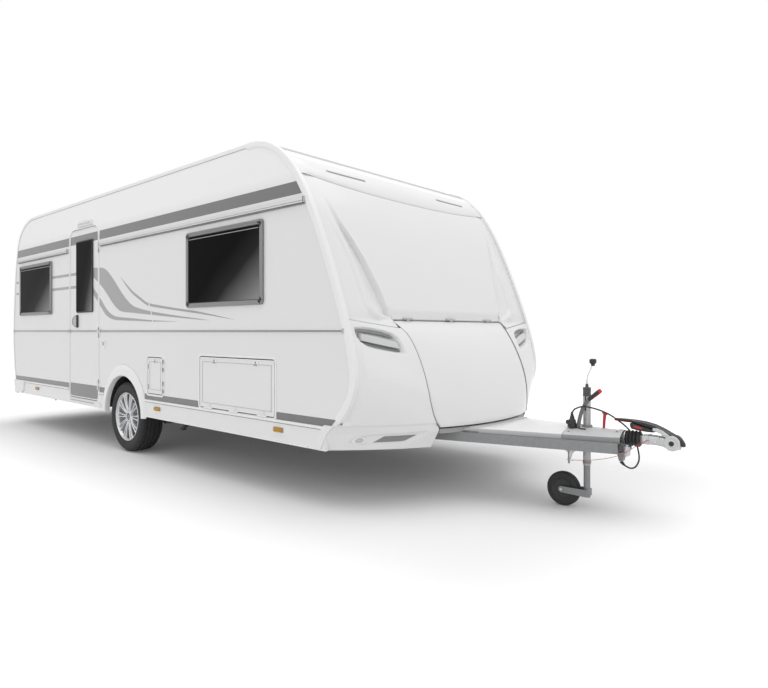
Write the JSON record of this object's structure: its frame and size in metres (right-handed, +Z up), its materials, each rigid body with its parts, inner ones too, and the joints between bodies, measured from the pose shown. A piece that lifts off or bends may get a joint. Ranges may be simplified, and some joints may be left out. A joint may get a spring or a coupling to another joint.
{
  "type": "single-axle travel caravan",
  "caption": "White touring caravan body on a galvanised chassis with A-frame drawbar, ball coupling, jockey wheel, corner steadies, entrance door, hatches and tinted windows.",
  "frame": {"origin": "on the ground under the middle of the whole trailer's bounding box", "axes": "+X forward along the drawbar, +Y to the left, +Z up; the entrance door is on the -Y side"},
  "size_m": [7.976, 2.368, 2.61],
  "materials": {
    "galvanised_steel": "matt zinc",
    "underfloor": "dark sealed board",
    "locker_board": "light board",
    "body_sheet": "gloss white",
    "white_moulding": "gloss white",
    "tinted_window": "deep tinted acrylic",
    "red_lens": "clear gloss",
    "black_plastic": "fine grain",
    "trim_aluminium": "satin",
    "grey_plastic": "satin",
    "tyre_rubber": "matt",
    "alloy": "painted silver",
    "grey_moulding": "satin",
    "bellows_rubber": "matt",
    "cast_coupling": "silver",
    "jockey_rubber": "matt",
    "cable_sheath": "satin",
    "red_cable": "satin"
  },
  "bodies": {
    "caravan": {"chassis_rails": "galvanised_steel", "cross_members": "galvanised_steel", "drawbar_arms": "galvanised_steel", "axle_tube": "galvanised_steel", "swing_arms": "galvanised_steel", "steady_brackets": "galvanised_steel", "overrun_device": "galvanised_steel", "jockey_tube": "galvanised_steel", "floor_panel": "underfloor", "gas_locker": "locker_board", "wall_left": "body_sheet", "wall_right": "body_sheet", "roof_panel": "body_sheet", "front_panel": "white_moulding", "front_corners": "white_moulding", "rear_panel": "white_moulding", "rear_bumper": "white_moulding", "skirts": "white_moulding", "arch_trims": "white_moulding", "wall_hinges": "white_moulding", "roof_hatches": "tinted_window", "side_windows": "tinted_window", "rear_window": "tinted_window", "tail_lamps": "red_lens", "wheel_boxes": "black_plastic", "awning_rails": "trim_aluminium", "fridge_vents": "grey_plastic", "drawbar_cover": "grey_moulding", "bellows": "bellows_rubber", "coupling_head": "cast_coupling", "stabiliser_handle": "black_plastic", "handbrake_lever": "black_plastic", "jockey_crank": "black_plastic", "parking_plug": "black_plastic", "plug_cable": "cable_sheath", "breakaway_cable": "red_cable"},
    "entrance_door": {"entrance_door": "body_sheet", "door_window": "tinted_window"},
    "garage_flap": {"garage_flap": "body_sheet"},
    "cassette_flap": {"cassette_flap": "body_sheet"},
    "inlet_flap": {"inlet_flap": "white_moulding"},
    "gas_locker_lid": {"gas_locker_lid": "white_moulding"},
    "steady_front_left": {"steady_front_left": "galvanised_steel"},
    "steady_front_right": {"steady_front_right": "galvanised_steel"},
    "steady_rear_left": {"steady_rear_left": "galvanised_steel"},
    "steady_rear_right": {"steady_rear_right": "galvanised_steel"},
    "wheel_left": {"tyre_left": "tyre_rubber", "rim_left": "alloy"},
    "wheel_right": {"tyre_right": "tyre_rubber", "rim_right": "alloy"},
    "jockey_column": {"jockey_inner": "galvanised_steel"},
    "jockey_fork": {"jockey_fork": "galvanised_steel"},
    "jockey_wheel": {"jockey_wheel": "jockey_rubber"}
  },
  "joints": [
    {"name": "entrance_door_hinge", "type": "hinge", "parent": "caravan", "child": "entrance_door", "pos_m": [-1.259, -1.17, 1.35], "axis": [0, 0, 1], "range_deg": [0, 165]},
    {"name": "garage_flap_hinge", "type": "hinge", "parent": "caravan", "child": "garage_flap", "pos_m": [1.125, -1.17, 0.552], "axis": [1, 0, 0], "range_deg": [0, 150]},
    {"name": "cassette_flap_hinge", "type": "hinge", "parent": "caravan", "child": "cassette_flap", "pos_m": [0.041, -1.17, 0.765], "axis": [0, 0, 1], "range_deg": [0, 110]},
    {"name": "inlet_flap_hinge", "type": "hinge", "parent": "caravan", "child": "inlet_flap", "pos_m": [-3.291, 1.17, 0.856], "axis": [1, 0, 0], "range_deg": [0, 110]},
    {"name": "gas_locker_lid_hinge", "type": "hinge", "parent": "caravan", "child": "gas_locker_lid", "pos_m": [2.3, 0, 1.252], "axis": [0, -1, 0], "range_deg": [0, 70]},
    {"name": "steady_front_left_hinge", "type": "hinge", "parent": "caravan", "child": "steady_front_left", "pos_m": [1.622, 0.84, 0.44], "axis": [0, 1, 0], "range_deg": [0, 62]},
    {"name": "steady_front_right_hinge", "type": "hinge", "parent": "caravan", "child": "steady_front_right", "pos_m": [1.622, -0.84, 0.44], "axis": [0, 1, 0], "range_deg": [0, 62]},
    {"name": "steady_rear_left_hinge", "type": "hinge", "parent": "caravan", "child": "steady_rear_left", "pos_m": [-3.163, 0.84, 0.44], "axis": [0, -1, 0], "range_deg": [0, 62]},
    {"name": "steady_rear_right_hinge", "type": "hinge", "parent": "caravan", "child": "steady_rear_right", "pos_m": [-3.163, -0.84, 0.44], "axis": [0, -1, 0], "range_deg": [0, 62]},
    {"name": "wheel_left_spin", "type": "hinge", "parent": "caravan", "child": "wheel_left", "pos_m": [-0.733, 1.0175, 0.3375], "axis": [0, 1, 0], "continuous": true},
    {"name": "wheel_right_spin", "type": "hinge", "parent": "caravan", "child": "wheel_right", "pos_m": [-0.733, -1.0175, 0.3375], "axis": [0, 1, 0], "continuous": true},
    {"name": "jockey_column_slide", "type": "slide", "parent": "caravan", "child": "jockey_column", "axis": [0, 0, 1], "range_m": [0, 0.12]},
    {"name": "jockey_swivel", "type": "hinge", "parent": "jockey_column", "child": "jockey_fork", "pos_m": [3.387, 0, 0.15], "axis": [0, 0, 1], "continuous": true},
    {"name": "jockey_wheel_spin", "type": "hinge", "parent": "jockey_fork", "child": "jockey_wheel", "pos_m": [3.227, 0, 0.113], "axis": [0, 1, 0], "continuous": true}
  ]
}
